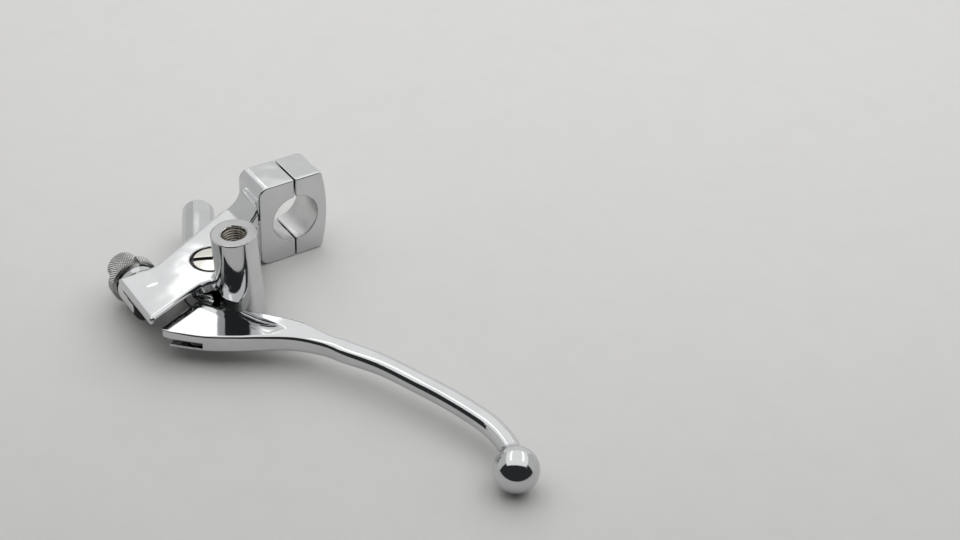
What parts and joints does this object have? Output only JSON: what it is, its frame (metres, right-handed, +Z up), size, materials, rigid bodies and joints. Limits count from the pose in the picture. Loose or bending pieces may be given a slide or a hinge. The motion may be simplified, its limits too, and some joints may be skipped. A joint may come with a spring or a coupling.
{
  "type": "clutch lever",
  "caption": "Motorcycle clutch lever in a cast perch with a two-piece handlebar clamp, threaded mirror boss, screw cable adjuster and plunger switch; the lever pivots and ends in a ball.",
  "frame": {"origin": "centre of the handlebar bore of the clamp", "axes": "+X along the handlebar towards the ball end of the lever, +Y from the perch to the removable clamp cap, +Z up along the mirror boss"},
  "size_m": [0.2218, 0.1029, 0.0468],
  "materials": {
    "polished_chrome": "polished",
    "plated_screws": "nickel, satin",
    "knurled_alloy": "satin",
    "plain_steel": "brushed",
    "bronze_bush": "satin",
    "brass_contacts": "satin",
    "switch_plastic": "matte",
    "thrust_plastic": "matte"
  },
  "bodies": {
    "perch": {"perch_body": "polished_chrome", "clamp_cap": "polished_chrome", "clamp_bolt_upper": "plated_screws", "clamp_bolt_lower": "plated_screws", "bolt_washer_upper": "plated_screws", "bolt_washer_lower": "plated_screws", "pivot_screw": "plated_screws", "thrust_washer_upper": "thrust_plastic", "thrust_washer_lower": "thrust_plastic", "pivot_washer": "plated_screws", "pivot_nut": "plated_screws", "switch_body": "switch_plastic", "switch_terminal_left": "brass_contacts", "switch_terminal_right": "brass_contacts", "switch_spring": "plain_steel", "switch_set_screw": "plain_steel"},
    "lever": {"lever_blade": "polished_chrome", "pivot_bush": "bronze_bush"},
    "plunger": {"switch_plunger": "switch_plastic", "switch_contact": "brass_contacts"},
    "adjuster": {"adjuster_screw": "knurled_alloy"},
    "adjuster_knob": {"adjuster_head": "knurled_alloy"},
    "lock_ring": {"adjuster_lock_ring": "knurled_alloy"}
  },
  "joints": [
    {"name": "lever_pivot", "type": "hinge", "parent": "perch", "child": "lever", "pos_m": [0.0209, -0.0467, -0.008], "axis": [0, 0, 1], "range_deg": [-25, 1]},
    {"name": "plunger_slide", "type": "slide", "parent": "perch", "child": "plunger", "axis": [0.8949, -0.4462, 0], "range_m": [-0.0029, 0.0002], "deforming": ["switch_spring"]},
    {"name": "adjuster_feed", "type": "slide", "parent": "perch", "child": "adjuster", "axis": [-1, 0, 0], "range_m": [0, 0.0075]},
    {"name": "adjuster_turn", "type": "hinge", "parent": "adjuster", "child": "adjuster_knob", "pos_m": [0, -0.0763, -0.0074], "axis": [-1, 0, 0], "range_deg": [0, 2160]},
    {"name": "lock_ring_turn", "type": "hinge", "parent": "perch", "child": "lock_ring", "pos_m": [0.006, -0.0763, -0.0074], "axis": [-1, 0, 0], "range_deg": [0, 360]}
  ],
  "couplings": [
    {"joint": "plunger_slide", "follows": "lever_pivot", "m_per_rad": 0.00655},
    {"joint": "adjuster_turn", "follows": "adjuster_feed", "rad_per_m": 5026.5}
  ]
}
